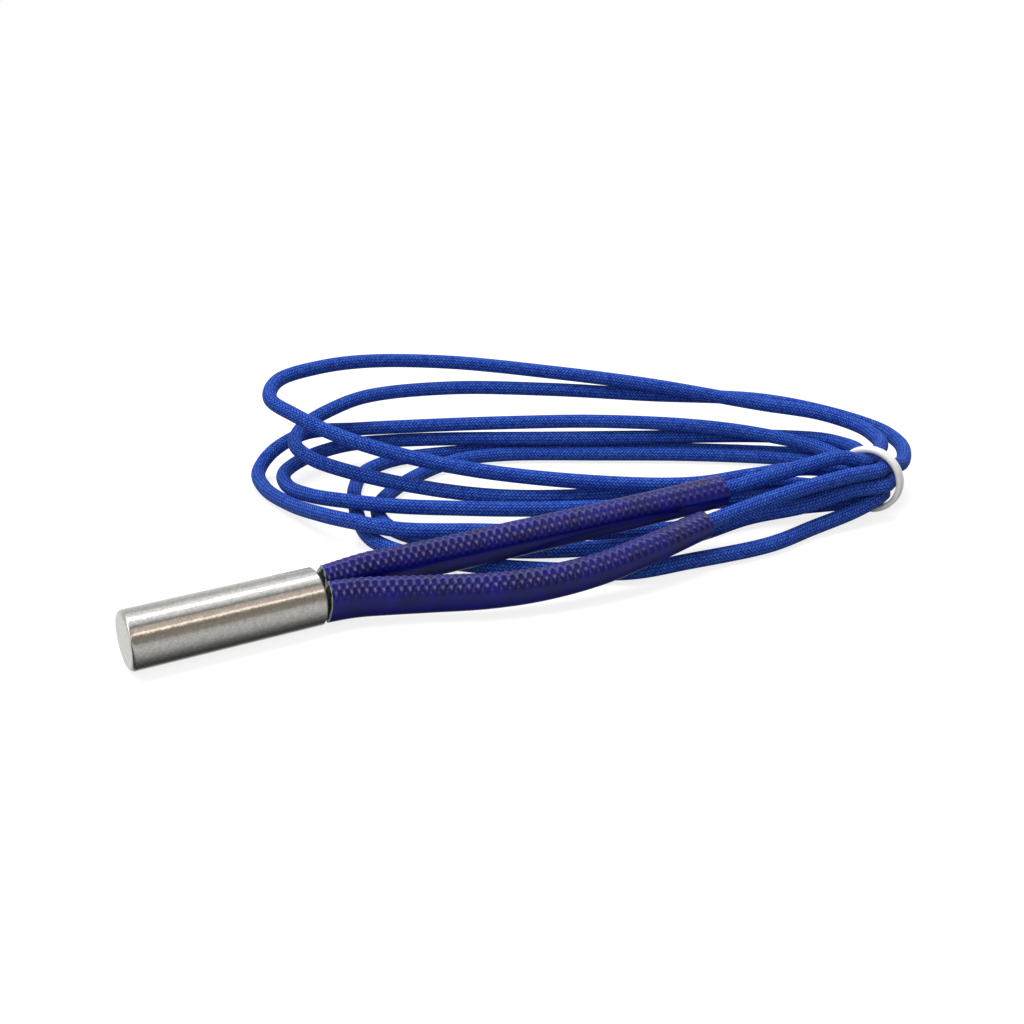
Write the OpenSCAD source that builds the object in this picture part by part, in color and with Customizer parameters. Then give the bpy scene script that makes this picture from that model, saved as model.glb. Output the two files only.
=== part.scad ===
// Cartridge heater with two sleeved leads, lying on a table with the leads wound into a loose tied coil.
// X runs along the heater from its closed end to its leads, Z is up, and z = 0 is the table. Sizes are in mm.

/* [Sheath] */
// Outside diameter of the sheath
sheath_d = 6; // [5.8:0.1:7]
// Length of the sheath over its closed end
sheath_l = 19.5; // [18:0.5:30]
// Wall of the drawn sheath
sheath_wall = 0.4; // [0.25:0.05:0.5]
// Thickness of the closed end
base_t = 0.6; // [0.4:0.1:0.8]
// Radius round the edge of the closed end
nose_r = 0.5; // [0.2:0.05:0.8]
// Chamfer round the open mouth
mouth_chamfer = 0.2; // [0.05:0.05:0.3]

/* [Heating core] */
// Thickness of the packed oxide between the winding and the sheath
fill_t = 0.28; // [0.2:0.02:0.4]
// Space for the terminals, between the core's cap and the seal
chamber_l = 4.65; // [4.2:0.05:5.2]
// Diameter of the resistance wire
wire_d = 0.3; // [0.2:0.05:0.35]
// Turns of the resistance wire
wire_turns = 12; // [8:1:16]
// Thickness of the insulating disc at each end of the core
disc_t = 0.7; // [0.5:0.1:0.8]

/* [Terminals and seal] */
// Diameter of the terminal pins
pin_d = 0.7; // [0.5:0.05:0.8]
// Distance of the terminal pins from the axis
pin_offset = 1.05; // [1:0.05:1.1]
// Outside diameter of the crimp tubes
crimp_d = 1.4; // [1.2:0.05:1.5]
// Length of the crimp tubes
crimp_l = 2.4; // [2:0.1:2.6]
// Length of the potted seal
seal_l = 2; // [1.5:0.1:2.2]
// Depth of the seal below the mouth of the sheath
seal_recess = 0.5; // [0.3:0.1:0.6]
// Potting between a lead and the edge of the seal
seal_edge = 0.2; // [0.1:0.05:0.3]

/* [Leads] */
// Diameter of a lead over its braid
lead_d = 1.8; // [1.6:0.05:1.8]
// Diameter of a lead's bare conductor
conductor_d = 0.7; // [0.5:0.05:0.75]
// Turn of the pair of leads about the heater's axis, in degrees
lead_twist = 10; // [0:1:20]
// Bare length at the free end of a lead
tip_l = 1; // [0.5:0.5:2]

/* [Sleeves] */
// Wall of the braided sleeves
sleeve_wall = 0.35; // [0.25:0.05:0.4]
// Half height of a sleeve where it is pressed flat at the heater
sleeve_flat = 2.2; // [1.8:0.05:2.3]
// Radius of the near sleeve at its free end
sleeve_r = 1.6; // [1.5:0.05:1.7]
// Radius of the upper sleeve at its free end
upper_sleeve_r = 1.85; // [1.6:0.05:2]
// Gap between the sheath's mouth and the sleeves
sleeve_gap = 0.55; // [0.1:0.05:0.8]

/* [Tie] */
// Diameter of the coated wire of the tie
tie_d = 0.65; // [0.4:0.05:0.65]
// Clearance between the tie and the bundle
tie_clear = 0.1; // [0.05:0.01:0.15]
// Turns of the tie round the bundle
tie_turns = 2; // [1:1:2]

/* [Fits] */
// Clearance between pieces that lie against each other
slip = 0.05; // [0.02:0.01:0.08]
// Clearance between a lead and its sleeve
sleeve_clear = 0.1; // [0.05:0.01:0.15]

/* [Hidden] */
$fn = 64;

// The heater's axis above the table, and the bore of its sheath
axis_z = sheath_d / 2;
bore_d = sheath_d - 2 * sheath_wall;
// Room beside each end of the core where the wire hooks onto a pin
hook_l = wire_d + 2 * slip;
// Places along X, from the mouth inwards
mouth_x = sheath_l / 2;
sleeve_x = mouth_x + sleeve_gap;
seal_x = mouth_x - seal_recess - seal_l;
lead_end_x = seal_x - slip;
cap_disc_x = seal_x - chamber_l - disc_t;
crimp_x = cap_disc_x + disc_t + slip;
core_end_x = cap_disc_x - hook_l;
// Places along X, from the closed end
closed_x = -sheath_l / 2;
end_disc_x = closed_x + base_t + slip;
core_x = end_disc_x + disc_t + hook_l;
core_l = core_end_x - core_x;
// A terminal pin reaches to the middle of its crimp tube
pin_end_x = crimp_x + crimp_l / 2 - slip;
// Distance of a lead from the axis, inside the seal
lead_offset = bore_d / 2 - slip - seal_edge - slip - lead_d / 2;
// Half width of a sleeve at the heater, and its distance from the axis
sleeve_half_w = lead_d / 2 + sleeve_clear + sleeve_wall;
sleeve_offset = sleeve_half_w + slip;
// Winding of the resistance wire, and the core inside it
wire_steps = 12;
winding_r = bore_d / 2 - slip - fill_t - slip - wire_d / 2;
core_d = 2 * (winding_r * cos(180 / wire_steps) - wire_d / 2 - slip);
hook_r = pin_offset + pin_d / 2 + wire_d / 2 + slip;
hook_angle = 90;
// Sides of the swept tubes
lead_sides = 8;
wire_sides = 6;
sleeve_sides = 16;
// Points between two chosen points of a sleeve's route
sleeve_steps = 3;
tie_steps = 16;

// The coil's own frame has its long side along its X. This is how far the heater points away from that side.
coil_turn = 30.5;
// Middle of the tie and the heading of the bundle there, in the coil's frame
tie_at = [71.1, 35.1, 4.2];
tie_heading = 55;
// Distance of the outer strands from the middle of the bundle
bundle_r = 2.4;

// Routes in the coil's frame: each lead leaves its sleeve, passes the tie, makes three turns and ends there
sleeve_route_1 = [
    [12.9, 9.5, 3.6], [18.5, 12.5, 3.6], [29.5, 17, 4.4], [40.5, 21, 5.4], [51.5, 25.3, 6.45]];
sleeve_route_2 = [
    [12.3, 5.2, 2.7], [15.8, 5.9, 2.6], [19.5, 6.5, 2.5], [25.5, 7, 2.6], [31, 8.5, 2.7], [37, 11, 3.2],
    [43.5, 14.8, 4.25], [48.9, 19.1, 4.85]];
coil_route_1 = [
    // To the tie
    [62, 30.5, 7.5], [67, 33.1, 7.7], [70.1, 34.5, 6.6], [71.3, 36, 6.5],
    // First turn
    [73.7, 40.5, 6.6], [74.1, 45, 6.3], [73, 50.2, 6.1], [68.7, 53, 6.8], [61, 55, 7.5],
    [46.5, 57.5, 9.4], [33, 58.5, 10.9], [19.5, 58, 12.4], [9, 56, 13.1], [3, 52, 13.4], [-1.6, 47.5, 13],
    [-1.9, 42.5, 12], [1.5, 39.5, 10.9], [7, 36.8, 9.2], [14.5, 35, 7.4], [24, 33.5, 5.9],
    [38.5, 31.5, 5.1], [49, 30.5, 5.3], [56.5, 31.7, 6], [63, 33.8, 6.1], [68.7, 35.5, 5.1],
    [69.8, 37.1, 5.1],
    // Second turn
    [71.8, 41, 4.8], [72.1, 46, 4.3], [71, 50, 3.7], [69, 52.5, 3.4], [62, 55.5, 2.8], [46.5, 54.5, 3],
    [33, 54, 3], [19.5, 54, 2.9], [12, 53.5, 2.8], [6, 52, 2.7], [1.5, 48, 2.5], [-0.9, 43.4, 2],
    [0.2, 39, 1.8], [3.5, 34.9, 2.2], [8.5, 31.2, 2.9], [14.5, 29.6, 2.9], [20.5, 29, 2.9],
    [31, 28.9, 2.8], [49, 30.2, 3], [60, 32, 3.4], [70.5, 34.3, 4.2], [71.7, 35.8, 4.2],
    // Third turn, which ends in the tie
    [75.5, 40.5, 3.2], [75.5, 46, 2.4], [72.5, 51, 1.5], [66, 53.5, 1], [53, 55, 1], [40, 55.3, 1],
    [26.5, 55, 1], [18.5, 53.5, 1], [12.5, 51, 1], [9, 46.5, 1], [8.3, 40.5, 1], [9, 34.5, 1],
    [10.3, 28.5, 1], [12.3, 23.7, 1], [16.3, 20, 1], [24, 17, 1], [32, 15.6, 1], [40.5, 15.2, 1],
    [47.5, 18, 1], [57, 22.5, 1], [63, 27.5, 1], [68.8, 31, 1.8], [71.8, 33.3, 2.4], [73.1, 35.3, 2.3]];
coil_route_2 = [
    // To the tie
    [53.5, 22.5, 5.2], [61, 27.4, 5.8], [67.5, 30.8, 6.2], [71.8, 33.4, 6], [72.8, 35.1, 6],
    // First turn
    [75.8, 38.6, 4.9], [77.4, 43, 4.9], [77.8, 47.5, 4.8], [76.4, 52, 5], [70, 55.5, 6.2],
    [61.5, 57.5, 7.3], [46.5, 58.5, 7.7], [33, 58, 8.6], [19.5, 57, 9.1], [9, 54, 8.9], [4.5, 50, 8.3],
    [1.3, 46, 7.2], [0.9, 42, 6.2], [3.2, 39.3, 5.4], [7, 37.3, 4.7], [15, 35, 3.6], [24, 33, 3],
    [31.5, 32.2, 3], [49, 33.5, 3.4], [60, 35, 3.7], [68.4, 35.45, 3], [70, 37.1, 3],
    // Second turn
    [71.3, 41, 3], [71, 46, 2.7], [68, 50.5, 3], [61, 53, 3.9], [53, 54, 4.7], [40, 54.5, 5.2],
    [26.5, 54.5, 5], [13.5, 53.5, 4.8], [7.5, 52.5, 4.8], [1, 50.5, 4.9], [-3, 48, 3.3], [-4.5, 45, 1.6],
    [-3, 40.5, 1], [1.3, 34.1, 1.3], [6, 28.3, 2.3], [9.5, 25, 2.9], [15.5, 22.4, 2.9], [24.5, 22, 2.9],
    [34, 23.6, 2], [49, 27.3, 1.2], [60, 32.3, 1.4], [70.2, 34.4, 1.8], [71.3, 36, 1.8],
    // Third turn, which ends in the tie
    [73, 40.5, 1.6], [73.2, 46, 1], [69.8, 49.5, 1], [64, 51.5, 1], [53, 53, 1], [40, 53.3, 1],
    [26.5, 53, 1], [21, 51, 1], [16.5, 46, 1], [13.3, 40, 1], [11.8, 33.8, 1], [13.5, 28, 1],
    [18.5, 23.7, 1], [27, 21, 1], [40, 21.6, 1.2], [48, 22.6, 2], [55, 25.6, 3.1], [62, 28.6, 3.3],
    [68, 31.4, 4.1], [72.4, 32.9, 4.2], [73.6, 34.8, 4]];

function unit(v) = v / norm(v);
function mix(a, b, t) = a + (b - a) * t;

// A point of the coil's frame in the heater's frame
function from_coil(p) = [
    p.x * cos(coil_turn) + p.y * sin(coil_turn),
    p.y * cos(coil_turn) - p.x * sin(coil_turn),
    p.z];
function all_from_coil(points) = [for (p = points) from_coil(p)];

// A smooth curve through a list of points, with steps places for each of them
function spline(a, b, c, d, t) =
    0.5 * (2 * b + (c - a) * t + (2 * a - 5 * b + 4 * c - d) * t * t + (3 * b - a - 3 * c + d) * t * t * t);
function smooth(points, steps) =
    let (last = len(points) - 1)
    concat([for (i = [0 : last - 1], k = [0 : steps - 1])
        spline(i == 0 ? 2 * points[0] - points[1] : points[i - 1], points[i], points[i + 1],
            i + 1 == last ? 2 * points[last] - points[last - 1] : points[i + 2], k / steps)],
        [points[last]]);

// A place on a lead or terminal beside the heater's axis, on side 1 or -1
function beside_axis(x, offset, side) = [
    x,
    side * offset * cos(lead_twist),
    axis_z + side * offset * sin(lead_twist)];

// Paths of the sleeved stretch and of the whole lead
function sleeved_path(side, route) = smooth(concat(
    [beside_axis(sleeve_x, sleeve_offset, side)],
    all_from_coil(route)), sleeve_steps);
function lead_path(side, sleeve_route, coil_route) = concat(
    [beside_axis(lead_end_x, lead_offset, side), beside_axis(mouth_x - seal_recess / 2, lead_offset, side)],
    sleeved_path(side, sleeve_route),
    all_from_coil(coil_route));

// Path of the resistance wire: a hook onto the first pin, the winding, and a hook onto the second pin
wire_sweep = 360 * wire_turns + 180;
winding_x = core_end_x + hook_l / 2;
winding_end_x = core_x - hook_l / 2;
function wire_radius(a) = mix(hook_r, winding_r, min(1, a / hook_angle, (wire_sweep - a) / hook_angle));
function wire_x(a) =
    mix(winding_x, winding_end_x, min(1, max(0, (a - hook_angle) / (wire_sweep - 2 * hook_angle))));
wire_path = [for (k = [0 : wire_sweep * wire_steps / 360])
    let (a = k * 360 / wire_steps)
    [wire_x(a),
        wire_radius(a) * cos(a + lead_twist),
        axis_z + wire_radius(a) * sin(a + lead_twist)]];

// Path of the tie round the bundle, in the heater's frame
bundle_way = [cos(tie_heading), sin(tie_heading), 0];
bundle_side = [-sin(tie_heading), cos(tie_heading), 0];
tie_r = (bundle_r + lead_d / 2 + tie_clear + tie_d / 2) / cos(180 / tie_steps);
tie_path = [for (k = [0 : tie_turns * tie_steps])
    let (a = 360 * k / tie_steps - 90, along = (tie_d + slip) * (k / tie_steps - tie_turns / 2))
    from_coil(tie_at + along * bundle_way + tie_r * (cos(a) * bundle_side + sin(a) * [0, 0, 1]))];

function tangent(path, i) = unit(path[min(i + 1, len(path) - 1)] - path[max(i - 1, 0)]);
// An oval ring of points across a path, half.x wide to the side and half.y high
function ring(path, i, half, sides, up) =
    let (t = tangent(path, i), s = unit(cross(t, up)), u = cross(s, t))
    [for (k = [0 : sides - 1])
        path[i] + half.x * cos(360 * k / sides) * s + half.y * sin(360 * k / sides) * u];
// Faces of the wall between rings, turned outwards from the path
function wall_faces(rings, sides, first) =
    [for (i = [0 : rings - 2], k = [0 : sides - 1])
        let (a = first + i * sides + k, b = first + i * sides + (k + 1) % sides)
        each [[a, b, b + sides], [a, b + sides, a + sides]]];
function reversed(face) = [for (i = [len(face) - 1 : -1 : 0]) face[i]];

// A solid round tube along a path
module round_tube(path, d, sides, up = [0, 0, 1]) {
    rings = len(path);
    last = (rings - 1) * sides;
    polyhedron(
        points = [for (i = [0 : rings - 1]) each ring(path, i, [d / 2, d / 2], sides, up)],
        faces = concat(
            [[for (k = [sides - 1 : -1 : 0]) k]],
            wall_faces(rings, sides, 0),
            [[for (k = [0 : sides - 1]) last + k]]));
}

// An open tube along a path, whose oval changes evenly from one end to the other
module hollow_tube(path, half_start, half_end, wall, sides, up = [0, 0, 1]) {
    rings = len(path);
    inner = rings * sides;
    last = (rings - 1) * sides;
    halves = [for (i = [0 : rings - 1]) mix(half_start, half_end, i / (rings - 1))];
    polyhedron(
        points = concat(
            [for (i = [0 : rings - 1]) each ring(path, i, halves[i], sides, up)],
            [for (i = [0 : rings - 1]) each ring(path, i, halves[i] - [wall, wall], sides, up)]),
        faces = concat(
            wall_faces(rings, sides, 0),
            [for (face = wall_faces(rings, sides, inner)) reversed(face)],
            [for (k = [0 : sides - 1])
                let (n = (k + 1) % sides)
                each [[n, k, inner + k], [n, inner + k, inner + n],
                    [last + k, last + n, last + inner + n],
                    [last + k, last + inner + n, last + inner + k]]]));
}

// Places children on the heater's axis at x, with their Z along the axis
module on_axis(x) {
    translate([x, 0, axis_z]) rotate([0, 90, 0]) children();
}
// Places children beside the axis, on side 1 or -1
module beside(x, offset, side) {
    translate(beside_axis(x, offset, side)) rotate([0, 90, 0]) children();
}
// Two holes beside the axis, cut right through a piece of length l from x
module pair_of_holes(x, l, d, offset) {
    for (side = [-1, 1]) beside(x - slip, offset, side) cylinder(d = d, h = l + 2 * slip);
}

// Drawn can, closed at one end with a rounded edge
module sheath() {
    r = sheath_d / 2;
    inner_r = bore_d / 2;
    color("silver") on_axis(closed_x) rotate_extrude() difference() {
        union() {
            translate([0, nose_r]) square([r, sheath_l - nose_r - mouth_chamfer]);
            square([r - nose_r, nose_r + slip]);
            intersection() {
                translate([r - nose_r, nose_r]) circle(r = nose_r);
                translate([r - nose_r, 0]) square([nose_r, nose_r]);
            }
            translate([0, sheath_l - mouth_chamfer]) square([r - mouth_chamfer, mouth_chamfer]);
            translate([r - mouth_chamfer, sheath_l - mouth_chamfer])
                polygon([[0, 0], [mouth_chamfer, 0], [0, mouth_chamfer]]);
        }
        translate([0, base_t]) square([inner_r, sheath_l]);
    }
}

// Insulating disc between the closed end and the core
module end_disc() {
    color("whitesmoke") on_axis(end_disc_x) cylinder(d = bore_d - 2 * slip, h = disc_t);
}

// Ceramic core with two holes for the terminal pins
module winding_core() {
    color("ivory") difference() {
        on_axis(core_x) cylinder(d = core_d, h = core_l);
        pair_of_holes(core_x, core_l, pin_d + 2 * slip, pin_offset);
    }
}

// Resistance wire wound on the core, hooked onto a pin at each end
module heating_wire() {
    color("dimgray") round_tube(wire_path, wire_d, wire_sides, [1, 0, 0]);
}

// Packed oxide between the winding and the sheath
module oxide_fill() {
    fill_x = end_disc_x + disc_t + slip;
    fill_l = cap_disc_x - slip - fill_x;
    color("gainsboro") on_axis(fill_x) difference() {
        cylinder(d = bore_d - 2 * slip, h = fill_l);
        translate([0, 0, -slip]) cylinder(r = winding_r + wire_d / 2 + slip, h = fill_l + 2 * slip);
    }
}

// Insulating disc that closes the packed oxide, with holes for the pins
module cap_disc() {
    color("whitesmoke") difference() {
        on_axis(cap_disc_x) cylinder(d = bore_d - 2 * slip, h = disc_t);
        pair_of_holes(cap_disc_x, disc_t, pin_d + 2 * slip, pin_offset);
    }
}

// A pin from x to the middle of its crimp tube
module terminal_pin(x, side) {
    color("lightgray") beside(x, pin_offset, side) cylinder(d = pin_d, h = pin_end_x - x);
}
// The first pin meets the winding at the lead end, so it stops half way down the core
module terminal_pin_1() {
    terminal_pin(core_x + core_l / 2, 1);
}
// The second pin meets the winding at the closed end, so it passes right through the core
module terminal_pin_2() {
    terminal_pin(core_x - hook_l + slip, -1);
}

// Crimp tube that joins a pin to a lead's conductor
module crimp(side) {
    color("goldenrod") beside(crimp_x, pin_offset, side) difference() {
        cylinder(d = crimp_d, h = crimp_l);
        translate([0, 0, -slip]) cylinder(d = max(pin_d, conductor_d) + 2 * slip, h = crimp_l + 2 * slip);
    }
}
module crimp_1() {
    crimp(1);
}
module crimp_2() {
    crimp(-1);
}

// Bare conductor from the middle of the crimp tube to the end of the lead's braid
module bare_strand(side) {
    start_x = crimp_x + crimp_l / 2 + slip;
    bend_x = crimp_x + crimp_l + conductor_d / 2;
    end_x = lead_end_x - slip;
    path = [
        beside_axis(start_x, pin_offset, side),
        beside_axis(bend_x, pin_offset, side),
        beside_axis(end_x - conductor_d, lead_offset, side),
        beside_axis(end_x - conductor_d / 2, lead_offset, side),
        beside_axis(end_x, lead_offset, side)];
    color("peru") round_tube(path, conductor_d, lead_sides);
}
module bare_strand_1() {
    bare_strand(1);
}
module bare_strand_2() {
    bare_strand(-1);
}

// Potting that seals the mouth round the two leads
module end_seal() {
    color("darkolivegreen") difference() {
        on_axis(seal_x) cylinder(d = bore_d - 2 * slip, h = seal_l);
        pair_of_holes(seal_x, seal_l, lead_d + 2 * slip, lead_offset);
    }
}

// Braided leads
module lead_1() {
    color("royalblue") round_tube(lead_path(1, sleeve_route_1, coil_route_1), lead_d, lead_sides);
}
module lead_2() {
    color("royalblue") round_tube(lead_path(-1, sleeve_route_2, coil_route_2), lead_d, lead_sides);
}

// Varnished braid sleeves, pressed flat side by side at the heater and round at their free ends
module sleeve(side, route, end_r) {
    color("midnightblue") hollow_tube(sleeved_path(side, route),
        [sleeve_half_w, sleeve_flat], [end_r, end_r], sleeve_wall, sleeve_sides);
}
module sleeve_1() {
    sleeve(1, sleeve_route_1, upper_sleeve_r);
}
module sleeve_2() {
    sleeve(-1, sleeve_route_2, sleeve_r);
}

// Bare tinned tip at the free end of a lead, straight on from its last two points
module lead_tip(route) {
    points = all_from_coil([route[len(route) - 2], route[len(route) - 1]]);
    way = unit(points[1] - points[0]);
    color("gainsboro") round_tube([points[1] + slip * way, points[1] + tip_l * way], conductor_d, lead_sides);
}
module lead_tip_1() {
    lead_tip(coil_route_1);
}
module lead_tip_2() {
    lead_tip(coil_route_2);
}

// Coated wire tie wound round the bundle
module tie() {
    color("white") round_tube(tie_path, tie_d, lead_sides, from_coil(bundle_way));
}

sheath();
end_disc();
winding_core();
heating_wire();
oxide_fill();
cap_disc();
terminal_pin_1();
terminal_pin_2();
crimp_1();
crimp_2();
bare_strand_1();
bare_strand_2();
end_seal();
lead_1();
lead_2();
sleeve_1();
sleeve_2();
lead_tip_1();
lead_tip_2();
tie();
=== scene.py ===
# Looks of the cartridge heater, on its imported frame: satin sheath, varnished sleeves, braided leads
# and a white tie.
import math

import bmesh
import bpy
import numpy as np
from mathutils import Matrix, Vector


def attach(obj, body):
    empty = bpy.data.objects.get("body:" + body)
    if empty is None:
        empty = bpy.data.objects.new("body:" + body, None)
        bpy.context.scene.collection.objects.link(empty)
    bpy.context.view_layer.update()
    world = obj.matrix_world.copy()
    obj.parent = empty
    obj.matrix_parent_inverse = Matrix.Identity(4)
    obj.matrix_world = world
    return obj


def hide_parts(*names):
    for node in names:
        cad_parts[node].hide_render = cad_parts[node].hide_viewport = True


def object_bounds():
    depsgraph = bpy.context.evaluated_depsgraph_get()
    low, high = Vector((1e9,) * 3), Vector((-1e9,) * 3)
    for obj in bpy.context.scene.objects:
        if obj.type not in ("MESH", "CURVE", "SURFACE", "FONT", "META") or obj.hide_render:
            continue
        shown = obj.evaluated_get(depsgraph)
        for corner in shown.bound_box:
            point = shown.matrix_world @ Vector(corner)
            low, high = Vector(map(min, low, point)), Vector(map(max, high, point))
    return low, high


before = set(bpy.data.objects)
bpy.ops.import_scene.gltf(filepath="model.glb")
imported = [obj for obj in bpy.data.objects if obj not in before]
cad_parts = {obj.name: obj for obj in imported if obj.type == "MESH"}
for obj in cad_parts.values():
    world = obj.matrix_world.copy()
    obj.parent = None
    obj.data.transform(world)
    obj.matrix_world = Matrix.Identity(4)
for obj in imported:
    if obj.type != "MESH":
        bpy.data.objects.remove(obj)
cad_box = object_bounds()

MM = 0.001
UP = np.array([0.0, 0.0, 1.0])
TURN = 2 * math.pi

# The camera stands where the photograph was taken from: 22 degrees above the table,
# and 30.5 degrees round from the heater. Lens and sensor are in mm, and its place is in metres.
VIEW_TURN = math.radians(30.5)
VIEW_DOWN = math.radians(22)
CAMERA_AT = (-0.0356, -0.1156, 0.0615)
CAMERA_LENS = 47.46
CAMERA_SENSOR = 36
CAMERA_SHIFT = 0.0012
CAMERA_NEAR = 0.002

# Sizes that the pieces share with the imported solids, in mm.
CLEARANCE = 0.05
SHEATH_D = 6.0
SHEATH_L = 19.5
SEAL_L = 2.0
SEAL_RECESS = 0.5
LEAD_D = 1.8
LEAD_OFFSET = 1.4
LEAD_TWIST = math.radians(10)
SLEEVE_GAP = 0.55
SLEEVE_WALL = 0.35
# Half width and half height of a sleeve at the heater, and its radius at its free end.
SLEEVE_START = (1.35, 2.2)
SLEEVE_END_R = {1: 1.85, 2: 1.6}
TIE_AT = (71.1, 35.1, 4.2)
TIE_HEADING = math.radians(55)
TIE_D = 0.65
TIE_R = 3.8
TIE_TURNS = 2
TIP_D = 0.7
TIP_L = 1.0
# Places that follow from these sizes.
AXIS_Z = SHEATH_D / 2
MOUTH_X = SHEATH_L / 2
SLEEVE_X = MOUTH_X + SLEEVE_GAP
LEAD_START_X = MOUTH_X - SEAL_RECESS - SEAL_L - CLEARANCE

# Routes of the leads in the coil's frame, in mm: the sleeved stretch, the way to the tie,
# and three turns from the tie back to the tie.
SLEEVE_ROUTE_1 = [
    (12.9, 9.5, 3.6), (18.5, 12.5, 3.6), (29.5, 17, 4.4), (40.5, 21, 5.4), (51.5, 25.3, 6.45)]
SLEEVE_ROUTE_2 = [
    (12.3, 5.2, 2.7), (15.8, 5.9, 2.6), (19.5, 6.5, 2.5), (25.5, 7, 2.6), (31, 8.5, 2.7), (37, 11, 3.2),
    (43.5, 14.8, 4.25), (48.9, 19.1, 4.85)]
COIL_ROUTE_1 = [
    # To the tie
    (62, 30.5, 7.5), (67, 33.1, 7.7), (70.1, 34.5, 6.6), (71.3, 36, 6.5),
    # First turn
    (73.7, 40.5, 6.6), (74.1, 45, 6.3), (73, 50.2, 6.1), (68.7, 53, 6.8), (61, 55, 7.5),
    (46.5, 57.5, 9.4), (33, 58.5, 10.9), (19.5, 58, 12.4), (9, 56, 13.1), (3, 52, 13.4), (-1.6, 47.5, 13),
    (-1.9, 42.5, 12), (1.5, 39.5, 10.9), (7, 36.8, 9.2), (14.5, 35, 7.4), (24, 33.5, 5.9),
    (38.5, 31.5, 5.1), (49, 30.5, 5.3), (56.5, 31.7, 6), (63, 33.8, 6.1), (68.7, 35.5, 5.1),
    (69.8, 37.1, 5.1),
    # Second turn
    (71.8, 41, 4.8), (72.1, 46, 4.3), (71, 50, 3.7), (69, 52.5, 3.4), (62, 55.5, 2.8), (46.5, 54.5, 3),
    (33, 54, 3), (19.5, 54, 2.9), (12, 53.5, 2.8), (6, 52, 2.7), (1.5, 48, 2.5), (-0.9, 43.4, 2),
    (0.2, 39, 1.8), (3.5, 34.9, 2.2), (8.5, 31.2, 2.9), (14.5, 29.6, 2.9), (20.5, 29, 2.9),
    (31, 28.9, 2.8), (49, 30.2, 3), (60, 32, 3.4), (70.5, 34.3, 4.2), (71.7, 35.8, 4.2),
    # Third turn, which ends in the tie
    (75.5, 40.5, 3.2), (75.5, 46, 2.4), (72.5, 51, 1.5), (66, 53.5, 1), (53, 55, 1), (40, 55.3, 1),
    (26.5, 55, 1), (18.5, 53.5, 1), (12.5, 51, 1), (9, 46.5, 1), (8.3, 40.5, 1), (9, 34.5, 1),
    (10.3, 28.5, 1), (12.3, 23.7, 1), (16.3, 20, 1), (24, 17, 1), (32, 15.6, 1), (40.5, 15.2, 1),
    (47.5, 18, 1), (57, 22.5, 1), (63, 27.5, 1), (68.8, 31, 1.8), (71.8, 33.3, 2.4), (73.1, 35.3, 2.3)]
COIL_ROUTE_2 = [
    # To the tie
    (53.5, 22.5, 5.2), (61, 27.4, 5.8), (67.5, 30.8, 6.2), (71.8, 33.4, 6), (72.8, 35.1, 6),
    # First turn
    (75.8, 38.6, 4.9), (77.4, 43, 4.9), (77.8, 47.5, 4.8), (76.4, 52, 5), (70, 55.5, 6.2),
    (61.5, 57.5, 7.3), (46.5, 58.5, 7.7), (33, 58, 8.6), (19.5, 57, 9.1), (9, 54, 8.9), (4.5, 50, 8.3),
    (1.3, 46, 7.2), (0.9, 42, 6.2), (3.2, 39.3, 5.4), (7, 37.3, 4.7), (15, 35, 3.6), (24, 33, 3),
    (31.5, 32.2, 3), (49, 33.5, 3.4), (60, 35, 3.7), (68.4, 35.45, 3), (70, 37.1, 3),
    # Second turn
    (71.3, 41, 3), (71, 46, 2.7), (68, 50.5, 3), (61, 53, 3.9), (53, 54, 4.7), (40, 54.5, 5.2),
    (26.5, 54.5, 5), (13.5, 53.5, 4.8), (7.5, 52.5, 4.8), (1, 50.5, 4.9), (-3, 48, 3.3), (-4.5, 45, 1.6),
    (-3, 40.5, 1), (1.3, 34.1, 1.3), (6, 28.3, 2.3), (9.5, 25, 2.9), (15.5, 22.4, 2.9), (24.5, 22, 2.9),
    (34, 23.6, 2), (49, 27.3, 1.2), (60, 32.3, 1.4), (70.2, 34.4, 1.8), (71.3, 36, 1.8),
    # Third turn, which ends in the tie
    (73, 40.5, 1.6), (73.2, 46, 1), (69.8, 49.5, 1), (64, 51.5, 1), (53, 53, 1), (40, 53.3, 1),
    (26.5, 53, 1), (21, 51, 1), (16.5, 46, 1), (13.3, 40, 1), (11.8, 33.8, 1), (13.5, 28, 1),
    (18.5, 23.7, 1), (27, 21, 1), (40, 21.6, 1.2), (48, 22.6, 2), (55, 25.6, 3.1), (62, 28.6, 3.3),
    (68, 31.4, 4.1), (72.4, 32.9, 4.2), (73.6, 34.8, 4)]

# Fineness of the meshes: steps along a path in mm, steps in a turn or a tip, and sides of a ring.
LEAD_STEP = 0.45
LEAD_SIDES = 24
SLEEVE_STEP = 0.11
SLEEVE_SIDES = 96
TIE_STEPS = 72
TIE_SIDES = 14
TIP_STEPS = 22
TIP_SIDES = 36
BEAD_SIDES = 64
# Samples of a smooth curve between two of its points, and round an oval.
CURVE_SAMPLES = 24
OVAL_SAMPLES = 720
# Points closer than this, in metres, are one.
SEAM = 1e-7
# Size of a rounded tube's last ring, as the square of its share of the radius.
LAST_RING = 0.02

# Weave of the braids: threads each way round a lead or sleeve, and the length of one pick in mm.
LEAD_THREADS = 14
LEAD_PICK = 0.45
SLEEVE_THREADS = 9
SLEEVE_PICK = 0.87
# Depth of the sleeves' weave in mm.
SLEEVE_RELIEF = 0.1
# How round the threads of the sleeves are, how far they rise over each other,
# and the levels that count as gap and as crown.
THREAD_ROUND = 0.9
THREAD_RISE = 0.6
WEAVE_LEVELS = (0.4, 1.6)
# Varnish has filled the weave below the first share of a sleeve's half height,
# and leaves it open above the second.
VARNISH_FILL = (0.0, 0.4)
# How narrowly the painted glints and wear keep to the crowns.
GLINT_AND_WEAR_SHARPNESS = 9.0
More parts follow.
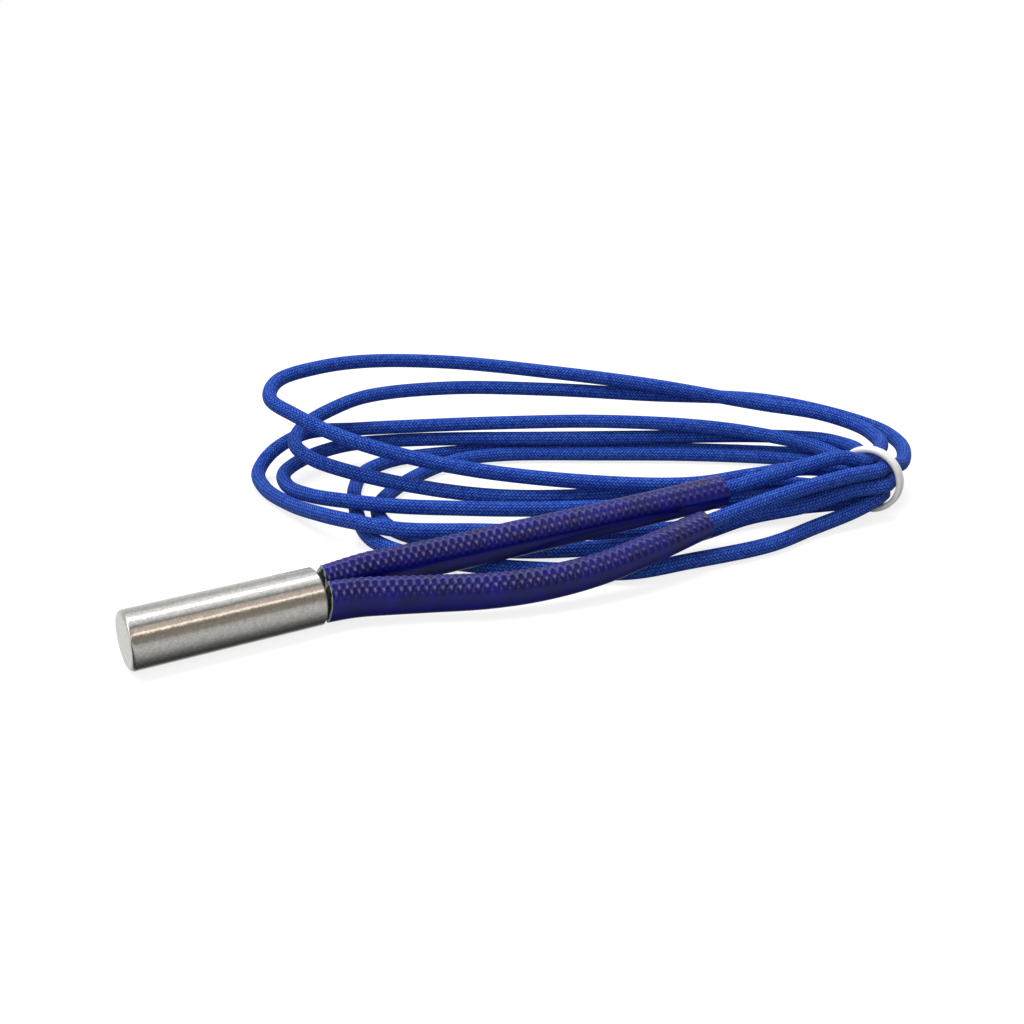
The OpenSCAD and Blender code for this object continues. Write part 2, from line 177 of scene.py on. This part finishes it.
# The painted glints and wear fade between two shares of a sleeve's length, and between two shares
# of its half height towards its very top, down to the share that comes third.
GLINT_AND_WEAR_FADE = (0.45, 0.85, 0.45)
GLINT_AND_WEAR_TOP = (0.72, 0.97, 0.25)
# Cut of each sleeve at the heater: how far it is set back in mm, and its slant.
# It dies out over this length in mm.
SLEEVE_CUT = {1: (0.4, 0.2), 2: (0.0, 0.1)}
SLEEVE_CUT_L = 3.0
# Waves of a frayed cut: size in mm, number round the sleeve, and phase.
FRAY = [(0.03, 3, 1), (0.012, 8, 2)]
# Length of braid from its start that the potting has stained, in mm.
STAINED_L = 4.8
# Strands of the bare tips, how deep their grooves are as a share of the radius,
# and the length of one twist in mm.
TIP_STRANDS = 6
TIP_GROOVE = 0.3
TIP_LAY = 5.0
# Bead of potting at the mouth, in mm: from and to along the heater, its radius there, and its rounded edge.
BEAD_X = (MOUTH_X - 0.55, MOUTH_X + 0.2)
BEAD_R = (2.5, 2.3)
BEAD_EDGE = 0.2

# Colours, as a dark and a light one where there are two.
STEEL = (0.52, 0.51, 0.50), (0.81, 0.80, 0.78)
BRAID = (0.026, 0.080, 0.66), (0.075, 0.25, 1.0)
BRAID_GAP = (0.002, 0.004, 0.06)
BRAID_STAIN = (0.018, 0.022, 0.009)
VARNISH = (0.0015, 0.002, 0.07), (0.003, 0.004, 0.20)
# Pale crowns of the sleeves: painted glints where the light catches them, and worn yarn.
GLINT_AND_WORN_YARN = (0.28, 0.25, 0.34)
CUT_YARN = (0.30, 0.40, 0.38), (0.62, 0.70, 0.64)


def make_camera():
    data = bpy.data.cameras.new("camera")
    data.lens = CAMERA_LENS
    data.sensor_width = CAMERA_SENSOR
    data.clip_start = CAMERA_NEAR
    data.shift_y = CAMERA_SHIFT
    camera = bpy.data.objects.new("camera", data)
    camera.location = CAMERA_AT
    camera.rotation_euler = (math.pi / 2 - VIEW_DOWN, 0, -VIEW_TURN)
    bpy.context.scene.collection.objects.link(camera)
    bpy.context.scene.camera = camera


# Paths, in mm

def unit(vectors):
    return vectors / np.linalg.norm(vectors, axis=-1, keepdims=True)


def from_coil(points):
    """Points of the coil's frame in the heater's frame."""
    p = np.array(points, float)
    c, s = math.cos(VIEW_TURN), math.sin(VIEW_TURN)
    return np.stack([p[:, 0] * c + p[:, 1] * s, p[:, 1] * c - p[:, 0] * s, p[:, 2]], axis=1)


def beside_axis(x, side):
    """The middle of a lead at x, where it runs beside the heater's axis."""
    offset = side * LEAD_OFFSET
    return [x, offset * math.cos(LEAD_TWIST), AXIS_Z + offset * math.sin(LEAD_TWIST)]


def along(path):
    """Distance of each place from the start of the path."""
    return np.concatenate([[0], np.cumsum(np.linalg.norm(np.diff(path, axis=0), axis=1))])


def smooth(points, step):
    """A smooth curve through points, with places about step apart.

    Its knots stand at the square roots of the distances, which keeps tight bends free of loops.
    """
    p = np.vstack([2 * points[0] - points[1], points, 2 * points[-1] - points[-2]])
    knots = np.concatenate([[0], np.cumsum(np.linalg.norm(np.diff(p, axis=0), axis=1) ** 0.5)])
    curve = []
    for i in range(1, len(p) - 2):
        a, b, c, d = p[i - 1:i + 3]
        ta, tb, tc, td = knots[i - 1:i + 3]
        t = np.linspace(tb, tc, CURVE_SAMPLES, endpoint=False)[:, None]
        ab = a + (b - a) * (t - ta) / (tb - ta)
        bc = b + (c - b) * (t - tb) / (tc - tb)
        cd = c + (d - c) * (t - tc) / (td - tc)
        abc = ab + (bc - ab) * (t - ta) / (tc - ta)
        bcd = bc + (cd - bc) * (t - tb) / (td - tb)
        curve.append(abc + (bcd - abc) * (t - tb) / (tc - tb))
    curve = np.vstack(curve + [p[-2:-1]])
    run = along(curve)
    places = np.linspace(0, run[-1], max(2, round(run[-1] / step)) + 1)
    return np.stack([np.interp(places, run, curve[:, axis]) for axis in range(3)], axis=1)


def lead_path(side, sleeve_route, coil_route):
    """A lead's whole way: straight out of the seal, along its sleeve and round the coil."""
    straight = [beside_axis(x, side) for x in (LEAD_START_X, MOUTH_X - SEAL_RECESS / 2, SLEEVE_X)]
    return smooth(np.vstack([straight, from_coil(sleeve_route + coil_route)]), LEAD_STEP)


def stretch(path, first, last, step):
    """The part of a path between the places nearest to two points."""
    run = along(path)
    ends = [run[np.argmin(np.linalg.norm(path - np.array(p), axis=1))] for p in (first, last)]
    places = np.linspace(ends[0], ends[1], round((ends[1] - ends[0]) / step) + 1)
    return np.stack([np.interp(places, run, path[:, axis]) for axis in range(3)], axis=1)


def frames(path, up=UP):
    """Tangent, sideways and upward directions along a path."""
    tangent = unit(np.gradient(path, axis=0))
    side = unit(np.cross(tangent, up))
    return tangent, side, np.cross(side, tangent)


# Meshes

def round_rings(path, radii, sides, up=UP):
    """Rings of points across a path, with a radius for each place, or for each point of each ring."""
    _, side, rise = frames(path, up)
    angle = np.arange(sides) / sides * TURN
    across = np.cos(angle)[:, None] * side[:, None] + np.sin(angle)[:, None] * rise[:, None]
    return path[:, None] + np.reshape(radii, (len(path), -1, 1)) * across


def rolled_sheet(rings, picks, heights=None):
    """Rolls a flat grid into a tube through rings of points.

    Its UV goes once round, and counts picks along. Heights of a weave, one for each point,
    are kept as the attribute weave.
    """
    bm = bmesh.new()
    uv = bm.loops.layers.uv.new("UVMap")
    weave = bm.verts.layers.float.new("weave") if heights is not None else None
    steps, sides = len(rings) - 1, len(rings[0])
    sheet = bmesh.ops.create_grid(bm, x_segments=sides, y_segments=steps, size=1, calc_uvs=True)["verts"]
    for vert in sheet:
        around = round((vert.co.x + 1) / 2 * sides) % sides
        place = round((vert.co.y + 1) / 2 * steps)
        vert.co = rings[place, around] * MM
        if weave:
            vert[weave] = heights[place, around]
    for face in bm.faces:
        face.smooth = True
        for loop in face.loops:
            loop[uv].uv.y *= picks
    bmesh.ops.remove_doubles(bm, verts=bm.verts, dist=SEAM)
    bmesh.ops.reverse_faces(bm, faces=bm.faces)
    for edge in bm.edges:
        edge.smooth = not edge.is_boundary
    return bm


def make_piece(name, bm, *materials):
    """An object that rides on the part, from a finished bmesh."""
    mesh = bpy.data.meshes.new(name)
    bm.to_mesh(mesh)
    bm.free()
    for material in materials:
        mesh.materials.append(material)
    piece = bpy.data.objects.new(name, mesh)
    bpy.context.scene.collection.objects.link(piece)
    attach(piece, "root")
    return piece


def closed_tube(name, rings, material, picks=1.0):
    """A tube through rings of points, with its two ends filled."""
    bm = rolled_sheet(rings, picks)
    ends = [edge for edge in bm.edges if edge.is_boundary]
    bmesh.ops.holes_fill(bm, edges=ends, sides=0)
    bmesh.ops.recalc_face_normals(bm, faces=bm.faces)
    return make_piece(name, bm, material)


def oval_angles(half, sides):
    """Angles that place points evenly round an oval."""
    dense = np.linspace(0, TURN, OVAL_SAMPLES + 1)
    outline = np.stack([half[0] * np.cos(dense), half[1] * np.sin(dense)], axis=1)
    run = along(outline)
    return np.interp(np.arange(sides) / sides * run[-1], run, dense)


def share_between(value, low, high):
    """0 up to low, 1 from high, and even between."""
    return np.clip((value - low) / (high - low), 0, 1)


def fading(place, start, stop, rest):
    """1 up to the start, then evenly down to the rest at the stop."""
    return 1 - (1 - rest) * share_between(place, start, stop)


def plain_weave(u, v, threads):
    """Height from 0 to 1 of a plain braid. u is once round, and v counts picks."""
    # Counts of the threads that wind each way
    a = threads * u + v
    b = threads * u - v
    over_a = np.cos(math.pi * (np.floor(a) + b - 0.5))
    over_b = -np.cos(math.pi * (np.floor(b) + a - 0.5))
    round_a = np.sqrt(1 - THREAD_ROUND * (2 * (a - np.floor(a)) - 1) ** 2)
    round_b = np.sqrt(1 - THREAD_ROUND * (2 * (b - np.floor(b)) - 1) ** 2)
    height = np.maximum(round_a + THREAD_RISE * over_a, round_b + THREAD_RISE * over_b)
    return share_between(height, *WEAVE_LEVELS)


def woven_sleeve(name, path, number, varnish, rim):
    """A woven tube with a cut edge at each end, pressed oval at the heater and round at its free end."""
    run = along(path)
    tangent, side, rise = frames(path)
    end_r, (set_back, slant) = SLEEVE_END_R[number], SLEEVE_CUT[number]
    rings, heights = [], []
    for i, share in enumerate(run / run[-1]):
        half = np.array(SLEEVE_START) * (1 - share) + end_r * share
        angle = oval_angles(half, SLEEVE_SIDES)
        outline = np.stack([half[0] * np.cos(angle), half[1] * np.sin(angle)], axis=1)
        out = unit(np.stack([np.cos(angle) / half[0], np.sin(angle) / half[1]], axis=1))
        # The weave stays open where varnish hasn't filled it; there its crowns carry painted glints and
        # wear
        around = np.arange(SLEEVE_SIDES) / SLEEVE_SIDES
        height = plain_weave(around, run[i] / SLEEVE_PICK, SLEEVE_THREADS)
        bare = share_between(np.sin(angle), *VARNISH_FILL)
        outline -= out * (SLEEVE_RELIEF * bare * (1 - height))[:, None]
        glint_and_wear = fading(share, *GLINT_AND_WEAR_FADE) * fading(np.sin(angle), *GLINT_AND_WEAR_TOP)
        heights.append(bare * height * glint_and_wear ** (1 / GLINT_AND_WEAR_SHARPNESS))
        # The cut at the heater and the frayed free end shift points along the sleeve
        fray = sum(size * np.sin(count * angle + phase) for size, count, phase in FRAY)
        cut = set_back + slant * outline[:, 1] + fray
        shift = cut * max(0, 1 - run[i] / SLEEVE_CUT_L) + fray * (i == len(path) - 1)
        across = outline[:, :1] * side[i] + outline[:, 1:] * rise[i]
        rings.append(path[i] + across + shift[:, None] * tangent[i])
    sheet = rolled_sheet(np.array(rings), run[-1] / SLEEVE_PICK, np.array(heights))
    piece = make_piece(name, sheet, varnish, rim)
    wall = piece.modifiers.new("wall", "SOLIDIFY")
    wall.thickness = SLEEVE_WALL * MM
    wall.offset = -1
    # The inside and the cut ends show bare yarn
    wall.material_offset = 1
    wall.material_offset_rim = 1
    return piece


def tie_path():
    """The wire's turns round the bundle, and the way the bundle points, in the heater's frame."""
    way = np.array([math.cos(TIE_HEADING), math.sin(TIE_HEADING), 0])
    side = np.array([-math.sin(TIE_HEADING), math.cos(TIE_HEADING), 0])
    k = np.linspace(0, TIE_TURNS, TIE_TURNS * TIE_STEPS + 1)
    angle = TURN * k - math.pi / 2
    places = np.array(TIE_AT) + np.outer((TIE_D + CLEARANCE) * (k - TIE_TURNS / 2), way)
    places = places + TIE_R * (np.outer(np.cos(angle), side) + np.outer(np.sin(angle), UP))
    return from_coil(places), from_coil(way[None])[0]


def rounded_ends(path, radius):
    """A radius for each place that closes the tube with a round at both ends."""
    run = along(path)
    near = np.minimum(run, run[-1] - run) / radius
    return radius * np.sqrt(np.clip(1 - (1 - np.minimum(near, 1)) ** 2, LAST_RING, 1))


def twisted_strands(path, radii):
    """A radius for each point of each ring, with grooves between strands that twist round the path."""
    angle = np.arange(TIP_SIDES) / TIP_SIDES * TURN
    turn = TURN * along(path)[:, None] / TIP_LAY
    groove = 0.5 - 0.5 * np.cos(TIP_STRANDS * (angle[None] - turn))
    return np.asarray(radii)[:, None] * (1 - TIP_GROOVE * groove)


# Materials

def new_material(name):
    """A material, its nodes and its main shader."""
    material = bpy.data.materials.new(name)
    material.use_nodes = True
    return material, material.node_tree, material.node_tree.nodes["Principled BSDF"]


def add(tree, kind, **settings):
    """A new node with some of its settings."""
    node = tree.nodes.new(kind)
    for key, value in settings.items():
        setattr(node, key, value)
    return node


def put(tree, socket, value):
    """Sets a socket to a constant, or links an output to it."""
    if isinstance(value, bpy.types.NodeSocket):
        tree.links.new(value, socket)
    elif isinstance(value, tuple) and len(value) == 3 and socket.type == "RGBA":
        socket.default_value = (*value, 1)
    else:
        socket.default_value = value


def calc(tree, operation, *values):
    """The result of one step of arithmetic."""
    node = add(tree, "ShaderNodeMath", operation=operation)
    for socket, value in zip(node.inputs, values):
        put(tree, socket, value)
    return node.outputs[0]


def blend(tree, factor, a, b):
    """A colour from a at factor 0 to b at factor 1."""
    node = add(tree, "ShaderNodeMix", data_type="RGBA")
    put(tree, node.inputs["Factor"], factor)
    put(tree, node.inputs[6], a)
    put(tree, node.inputs[7], b)
    return node.outputs[2]


def noise(tree, scale, detail=3.0, stretch_by=(1, 1, 1)):
    """Noise from 0 to 1 in the piece's own place."""
    place = add(tree, "ShaderNodeTexCoord").outputs["Object"]
    mapping = add(tree, "ShaderNodeMapping")
    put(tree, mapping.inputs["Vector"], place)
    mapping.inputs["Scale"].default_value = stretch_by
    node = add(tree, "ShaderNodeTexNoise")
    put(tree, node.inputs["Vector"], mapping.outputs[0])
    node.inputs["Scale"].default_value = scale
    node.inputs["Detail"].default_value = detail
    return node.outputs["Fac"]


def spread(tree, value, low, high):
    """Maps 0 to 1 onto low to high."""
    node = add(tree, "ShaderNodeMapRange")
    put(tree, node.inputs["Value"], value)
    node.inputs["To Min"].default_value = low
    node.inputs["To Max"].default_value = high
    return node.outputs[0]


def bump(tree, bsdf, height, strength, distance_mm):
    """Gives a shader a fine relief."""
    node = add(tree, "ShaderNodeBump")
    node.inputs["Strength"].default_value = strength
    node.inputs["Distance"].default_value = distance_mm * MM
    put(tree, node.inputs["Height"], height)
    put(tree, bsdf.inputs["Normal"], node.outputs[0])


def steel_material():
    """Satin steel with specks and a slight mottle."""
    material, tree, bsdf = new_material("ground_steel")
    bsdf.inputs["Metallic"].default_value = 1
    specks = noise(tree, 1.0, stretch_by=(4500, 7000, 7000))
    spots = noise(tree, 2600)
    mottle = noise(tree, 1700, detail=2)
    shade = calc(tree, "MULTIPLY", calc(tree, "ADD", specks, spots), 0.5)
    put(tree, bsdf.inputs["Base Color"], blend(tree, spread(tree, shade, -0.8, 1.8), *STEEL))
    put(tree, bsdf.inputs["Roughness"], spread(tree, mottle, 0.10, 0.18))
    bump(tree, bsdf, mottle, 0.4, 0.03)
    return material


def surface_place(tree):
    """The piece's UV: the share of the way round, and the picks along."""
    uv = add(tree, "ShaderNodeSeparateXYZ")
    put(tree, uv.inputs[0], add(tree, "ShaderNodeTexCoord").outputs["UV"])
    return uv.outputs[0], uv.outputs[1]


def herringbone(tree, u, v):
    """Height of a braid with two threads over two. u is once round, and v counts picks."""
    around = calc(tree, "MULTIPLY", u, float(LEAD_THREADS))
    band = calc(tree, "FRACT", calc(tree, "MULTIPLY", around, 0.5))
    second = calc(tree, "GREATER_THAN", band, 0.5)
    # Bands slope one way and the other in turn
    phase_a = calc(tree, "ADD", v, around)
    phase_b = calc(tree, "ADD", calc(tree, "SUBTRACT", v, around), 0.5)
    change = calc(tree, "MULTIPLY", second, calc(tree, "SUBTRACT", phase_b, phase_a))
    phase = calc(tree, "ADD", phase_a, change)
    stripe = calc(tree, "PINGPONG", calc(tree, "FRACT", phase), 0.5)
    crown = calc(tree, "MULTIPLY", stripe, 2.0)
    # Threads dive under at both edges of a band
    across = calc(tree, "PINGPONG", calc(tree, "FRACT", calc(tree, "MULTIPLY", band, 2.0)), 0.5)
    dive = calc(tree, "MINIMUM", calc(tree, "MULTIPLY", across, 3.5), 1.0)
    return calc(tree, "MULTIPLY", crown, spread(tree, dive, 0.3, 1.0))


def lead_material():
    """Royal blue glass braid with dark gaps between its threads, stained by the potting at its start."""
    material, tree, bsdf = new_material("blue_braid")
    around, picks = surface_place(tree)
    height = herringbone(tree, around, picks)
    tone = noise(tree, 2300)
    crown = blend(tree, spread(tree, tone, -0.9, 1.9), *BRAID)
    braid = blend(tree, height, BRAID_GAP, crown)
    stained = calc(tree, "LESS_THAN", picks, STAINED_L / LEAD_PICK)
    put(tree, bsdf.inputs["Base Color"], blend(tree, stained, braid, BRAID_STAIN))
    put(tree, bsdf.inputs["Roughness"], spread(tree, height, 0.75, 0.55))
    bsdf.inputs["Specular IOR Level"].default_value = 0.15
    bump(tree, bsdf, height, 0.7, 0.08)
    return material


def sleeve_material():
    """Deep indigo varnish over a woven sleeve, its crowns painted paler: painted glints, and worn yarn."""
    material, tree, bsdf = new_material("varnished_sleeve")
    tone = noise(tree, 420, detail=4)
    grain = noise(tree, 5200, detail=2)
    weave = add(tree, "ShaderNodeAttribute", attribute_name="weave").outputs["Fac"]
    varnish = blend(tree, spread(tree, tone, -0.6, 1.6), *VARNISH)
    # Painted glints and wear on the crowns of the upper side
    crowns = calc(tree, "POWER", weave, GLINT_AND_WEAR_SHARPNESS)
    glint_and_wear = calc(tree, "MULTIPLY", crowns, spread(tree, grain, -0.4, 1.8))
    put(tree, bsdf.inputs["Base Color"], blend(tree, glint_and_wear, varnish, GLINT_AND_WORN_YARN))
    put(tree, bsdf.inputs["Roughness"], spread(tree, weave, 0.3, 0.06))
    bsdf.inputs["Specular IOR Level"].default_value = 0.4
    bump(tree, bsdf, grain, 0.15, 0.02)
    return material


def rim_material():
    """Pale cut ends of the glass yarn."""
    material, tree, bsdf = new_material("cut_yarn")
    tone = noise(tree, 6000)
    put(tree, bsdf.inputs["Base Color"], blend(tree, tone, *CUT_YARN))
    bsdf.inputs["Roughness"].default_value = 0.8
    bump(tree, bsdf, tone, 0.5, 0.05)
    return material


def plain_material(name, dark, light, roughness, metallic=0.0, scale=900, relief=0.02):
    """A material with a fine mottle in its colour, roughness and surface."""
    material, tree, bsdf = new_material(name)
    tone = noise(tree, scale, detail=4)
    put(tree, bsdf.inputs["Base Color"], blend(tree, tone, dark, light))
    put(tree, bsdf.inputs["Roughness"], spread(tree, tone, roughness - 0.06, roughness + 0.06))
    bsdf.inputs["Metallic"].default_value = metallic
    bump(tree, bsdf, tone, 0.3, relief)
    return material


def dress(material, *nodes):
    """Gives CAD nodes a material."""
    for name in nodes:
        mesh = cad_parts[name].data
        mesh.materials.clear()
        mesh.materials.append(material)


# Light and floor

# What the gloss sees round the heater's axis: angle from the camera's side over the top, and its colour.
STUDIO_BANDS = [
    # Below, from behind to the camera's side
    (-180, (0.80, 0.80, 0.79)), (-148, (0.82, 0.82, 0.81)), (-128, (0.45, 0.45, 0.45)),
    (-110, (0.06, 0.06, 0.06)), (-88, (0.06, 0.06, 0.06)), (-65, (0.17, 0.17, 0.165)),
    (-47, (0.38, 0.38, 0.365)), (-31, (0.53, 0.53, 0.515)), (-16, (0.60, 0.60, 0.58)),
    # The camera's side
    (-2, (0.54, 0.53, 0.50)), (8, (0.30, 0.275, 0.235)), (30, (0.26, 0.22, 0.175)),
    (36, (0.42, 0.36, 0.30)), (39, (1.7, 1.5, 1.3)), (43, (1.7, 1.5, 1.3)),
    (46, (0.72, 0.61, 0.53)), (62, (0.62, 0.53, 0.46)), (67, (0.28, 0.275, 0.265)),
    # Above
    (71, (0.28, 0.28, 0.27)), (77, (0.58, 0.58, 0.57)), (86, (0.90, 0.90, 0.88)),
    (96, (1.1, 1.1, 1.08)), (99, (3.2, 3.2, 3.15)), (107, (3.2, 3.2, 3.15)),
    # Above, towards behind
    (110, (1.2, 1.2, 1.18)), (122, (1.0, 1.0, 0.99)), (132, (0.75, 0.75, 0.74)),
    (142, (0.55, 0.55, 0.54)), (165, (0.68, 0.68, 0.67)), (180, (0.85, 0.85, 0.85))]
# Soft light on everything else, from straight below to straight above.
SKY = (0.02, 0.42)
# Size of the floor and its drop below the part, in metres.
FLOOR_SIZE = 0.6
FLOOR_DROP = 0.0001
# Colour of the floor to the pieces and to the camera, and the glow that whitens it to the camera.
FLOOR_GREY = (0.35, 0.35, 0.35)
FLOOR_SEEN_GREY = (0.3, 0.3, 0.3)
FLOOR_GLOW = 0.8


def make_world():
    """White to the camera, bands of studio light to gloss, and soft light from above to everything else."""
    world = bpy.data.worlds.new("studio")
    bpy.context.scene.world = world
    world.use_nodes = True
    tree = world.node_tree
    tree.nodes.clear()
    way = add(tree, "ShaderNodeSeparateXYZ")
    put(tree, way.inputs[0], add(tree, "ShaderNodeTexCoord").outputs["Generated"])
    angle = calc(tree, "ARCTAN2", way.outputs[2], calc(tree, "MULTIPLY", way.outputs[1], -1.0))
    ramp = add(tree, "ShaderNodeValToRGB")
    put(tree, ramp.inputs[0], calc(tree, "ADD", calc(tree, "DIVIDE", angle, TURN), 0.5))
    stops = ramp.color_ramp.elements
    while len(stops) > 1:
        stops.remove(stops[-1])
    for i, (degrees, colour) in enumerate(STUDIO_BANDS):
        stop = stops[0] if i == 0 else stops.new(degrees / 360 + 0.5)
        stop.position = degrees / 360 + 0.5
        stop.color = (*colour, 1)
    height = calc(tree, "ADD", calc(tree, "MULTIPLY", way.outputs[2], 0.5), 0.5)
    rays = add(tree, "ShaderNodeLightPath")
    soft = add(tree, "ShaderNodeCombineColor")
    for socket in soft.inputs:
        put(tree, socket, spread(tree, height, *SKY))
    lit = blend(tree, rays.outputs["Is Glossy Ray"], soft.outputs[0], ramp.outputs[0])
    seen = blend(tree, rays.outputs["Is Camera Ray"], lit, (1.0, 1.0, 1.0))
    back = add(tree, "ShaderNodeBackground")
    put(tree, back.inputs["Color"], seen)
    out = add(tree, "ShaderNodeOutputWorld")
    tree.links.new(back.outputs[0], out.inputs[0])


def make_floor():
    """A white floor, on which the camera sees only a faint shadow."""
    bm = bmesh.new()
    bmesh.ops.create_grid(bm, x_segments=4, y_segments=4, size=FLOOR_SIZE / 2)
    bmesh.ops.translate(bm, verts=bm.verts, vec=(0, 0, cad_box[0][2] - FLOOR_DROP))
    mesh = bpy.data.meshes.new("floor")
    bm.to_mesh(mesh)
    bm.free()
    material, tree, bsdf = new_material("white_floor")
    bsdf.inputs["Roughness"].default_value = 1
    bsdf.inputs["Specular IOR Level"].default_value = 0
    seen = add(tree, "ShaderNodeLightPath").outputs["Is Camera Ray"]
    put(tree, bsdf.inputs["Base Color"], blend(tree, seen, FLOOR_GREY, FLOOR_SEEN_GREY))
    bsdf.inputs["Emission Color"].default_value = (1, 1, 1, 1)
    put(tree, bsdf.inputs["Emission Strength"], calc(tree, "MULTIPLY", seen, FLOOR_GLOW))
    mesh.materials.append(material)
    floor = bpy.data.objects.new("floor", mesh)
    floor.visible_glossy = False
    bpy.context.scene.collection.objects.link(floor)


def make_light(name, place, target, size, power, colour=(1, 1, 1)):
    """A soft lamp that faces its target and shows in no gloss."""
    data = bpy.data.lights.new(name, "AREA")
    data.shape = "RECTANGLE"
    data.size, data.size_y = size
    data.energy = power
    data.color = colour
    light = bpy.data.objects.new(name, data)
    light.location = place
    light.visible_glossy = False
    way = np.array(target) - np.array(place)
    turn = math.atan2(way[1], way[0])
    tilt = math.atan2(math.hypot(way[0], way[1]), -way[2])
    light.rotation_euler = (tilt, 0, turn - math.pi / 2)
    bpy.context.scene.collection.objects.link(light)


# Pieces

def make_potting_bead():
    """Potting that stands out of the seal round the leads, in the gap before the sleeves."""
    bm = bmesh.new()
    bmesh.ops.create_cone(bm, cap_ends=True, segments=BEAD_SIDES, radius1=BEAD_R[0] * MM,
                          radius2=BEAD_R[1] * MM, depth=(BEAD_X[1] - BEAD_X[0]) * MM)
    rims = [edge for edge in bm.edges if len(edge.link_faces[0].verts) != len(edge.link_faces[1].verts)]
    bmesh.ops.bevel(bm, geom=rims, offset=BEAD_EDGE * MM, segments=4, profile=0.5, affect="EDGES",
                    material=-1)
    turn = Matrix.Rotation(math.pi / 2, 4, "Y")
    bmesh.ops.transform(bm, matrix=turn, verts=bm.verts)
    bmesh.ops.translate(bm, vec=(sum(BEAD_X) / 2 * MM, 0, AXIS_Z * MM), verts=bm.verts)
    for face in bm.faces:
        face.smooth = True
    bead = make_piece("potting_bead", bm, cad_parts["end_seal"].data.materials[0])


def make_tie(white):
    """Coated wire wound round the bundle, with rounded ends."""
    path, way = tie_path()
    rings = round_rings(path, rounded_ends(path, TIE_D / 2), TIE_SIDES, way)
    tie = closed_tube("tie_wire", rings, white)
    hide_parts("tie")
    return tie


def make_tip(number, path, tinned):
    """The bare strands at a lead's free end."""
    heading = unit(path[-1] - path[-2])
    bare = path[-1] + np.outer(np.linspace(CLEARANCE, TIP_L, TIP_STEPS), heading)
    radii = twisted_strands(bare, rounded_ends(bare, TIP_D / 2))
    tip = closed_tube(f"tip_strands_{number}", round_rings(bare, radii, TIP_SIDES), tinned)
    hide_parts(f"lead_tip_{number}")
    return tip


def make_lead(number, path, blue):
    """A lead's braid along its whole path."""
    rings = round_rings(path, np.full(len(path), LEAD_D / 2), LEAD_SIDES)
    lead = closed_tube(f"lead_braid_{number}", rings, blue, along(path)[-1] / LEAD_PICK)
    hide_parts(f"lead_{number}")
    return lead


def make_sleeve(number, path, varnish, rim):
    """The sleeve over the first stretch of a lead."""
    sleeve = woven_sleeve(f"sleeve_weave_{number}", path, number, varnish, rim)
    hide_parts(f"sleeve_{number}")
    return sleeve


def make_leads():
    """Both leads with their sleeves and tips, and the tie round them."""
    blue = lead_material()
    varnish = sleeve_material()
    rim = rim_material()
    white = plain_material("coated_wire", (0.78, 0.77, 0.73), (0.90, 0.89, 0.86), roughness=0.38)
    tinned = plain_material("tinned_copper", (0.55, 0.55, 0.55), (0.78, 0.78, 0.77),
                            roughness=0.35, metallic=1.0, scale=3000)
    tie = make_tie(white)
    for number, side, sleeve_route, coil_route in (
            (1, 1, SLEEVE_ROUTE_1, COIL_ROUTE_1), (2, -1, SLEEVE_ROUTE_2, COIL_ROUTE_2)):
        path = lead_path(side, sleeve_route, coil_route)
        lead = make_lead(number, path, blue)
        sleeve_ends = beside_axis(SLEEVE_X, side), from_coil(sleeve_route[-1:])[0]
        sleeve = make_sleeve(number, stretch(path, *sleeve_ends, SLEEVE_STEP), varnish, rim)
        tip = make_tip(number, path, tinned)


def dress_solids():
    """Finishes of the CAD nodes that stay."""
    dress(steel_material(), "sheath")
    dress(plain_material("potting", (0.020, 0.024, 0.008), (0.055, 0.060, 0.022),
                         roughness=0.55, scale=2500, relief=0.05), "end_seal")
    dress(plain_material("ceramic", (0.74, 0.71, 0.63), (0.84, 0.81, 0.74), roughness=0.65),
          "end_disc", "cap_disc", "winding_core")
    dress(plain_material("packed_oxide", (0.66, 0.66, 0.64), (0.82, 0.82, 0.80),
                         roughness=0.9, scale=4000, relief=0.06), "oxide_fill")
    dress(plain_material("resistance_wire", (0.16, 0.15, 0.14), (0.30, 0.28, 0.26),
                         roughness=0.4, metallic=1.0, scale=3000), "heating_wire")
    dress(plain_material("nickel_pin", (0.52, 0.50, 0.46), (0.66, 0.64, 0.60),
                         roughness=0.3, metallic=1.0, scale=2000), "terminal_pin_1", "terminal_pin_2")
    dress(plain_material("brass_crimp", (0.55, 0.38, 0.13), (0.72, 0.52, 0.22),
                         roughness=0.35, metallic=1.0, scale=1800), "crimp_1", "crimp_2")
    dress(plain_material("bare_copper", (0.50, 0.20, 0.10), (0.68, 0.32, 0.17),
                         roughness=0.35, metallic=1.0, scale=3000), "bare_strand_1", "bare_strand_2")


def main():
    make_camera()
    make_leads()
    dress_solids()
    make_potting_bead()
    make_floor()
    make_world()
    make_light("overhead", place=(0.02, 0.10, 0.50), target=(0.03, 0.02, 0.0), size=(0.6, 0.3), power=3.0)
    make_light("front_fill", place=(-0.35, -0.35, 0.25), target=(0.03, 0.0, 0.0), size=(0.3, 0.3),
               power=1.0, colour=(1.0, 0.97, 0.94))
    bpy.context.scene.view_settings.view_transform = "Standard"


main()
